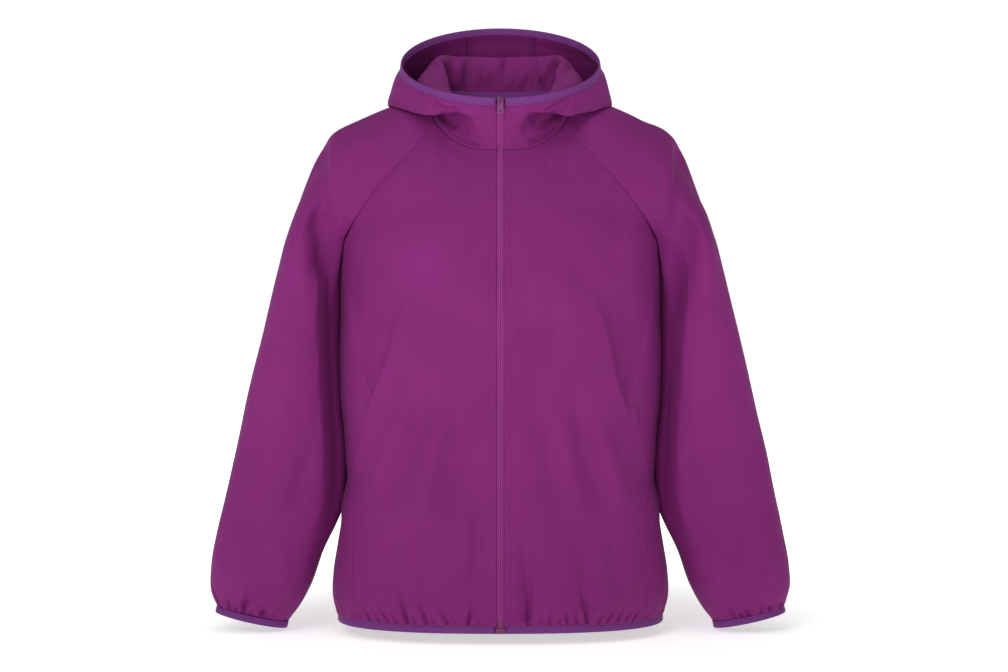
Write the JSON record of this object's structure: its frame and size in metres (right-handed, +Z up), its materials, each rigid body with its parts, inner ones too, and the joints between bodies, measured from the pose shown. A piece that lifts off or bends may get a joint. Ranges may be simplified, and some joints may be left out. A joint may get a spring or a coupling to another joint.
{
  "type": "hooded zip jacket",
  "caption": "Hooded full-zip raglan jacket in light woven cloth with elastic-bound hood, cuffs and hem, filled out as worn, with open neck, sleeves and hem.",
  "frame": {"origin": "middle of the neck base, between the shoulders, where the wearer holds the jacket up", "axes": "+Z up, -Y towards the front of the jacket, +X to the right seen from the front"},
  "size_m": [0.7818, 0.3311, 0.837],
  "materials": {
    "shell_cloth": "matt plain weave",
    "elastic_binding": "soft sheen",
    "zip_tape": "woven tape",
    "zip_plastic": "satin",
    "slider_metal": "coated satin"
  },
  "bodies": {
    "garment": {"front_left": "shell_cloth", "front_right": "shell_cloth", "back": "shell_cloth", "sleeve_left": "shell_cloth", "sleeve_right": "shell_cloth", "hood_side_left": "shell_cloth", "hood_side_right": "shell_cloth", "hood_centre": "shell_cloth", "hood_binding": "elastic_binding", "cuff_binding_left": "elastic_binding", "cuff_binding_right": "elastic_binding", "hem_binding": "elastic_binding", "back_neck_tape": "elastic_binding", "zip_tape_left": "zip_tape", "zip_tape_right": "zip_tape", "zip_chain": "zip_plastic", "zip_pin": "zip_plastic", "zip_box": "zip_plastic", "zip_slider": "slider_metal"},
    "pull_tab": {"pull_tab": "slider_metal"}
  },
  "joints": [
    {"name": "pull_tab_hinge", "type": "hinge", "parent": "garment", "child": "pull_tab", "pos_m": [0, -0.10794, -0.0103], "axis": [-1, 0, 0], "range_deg": [0, 170]}
  ]
}
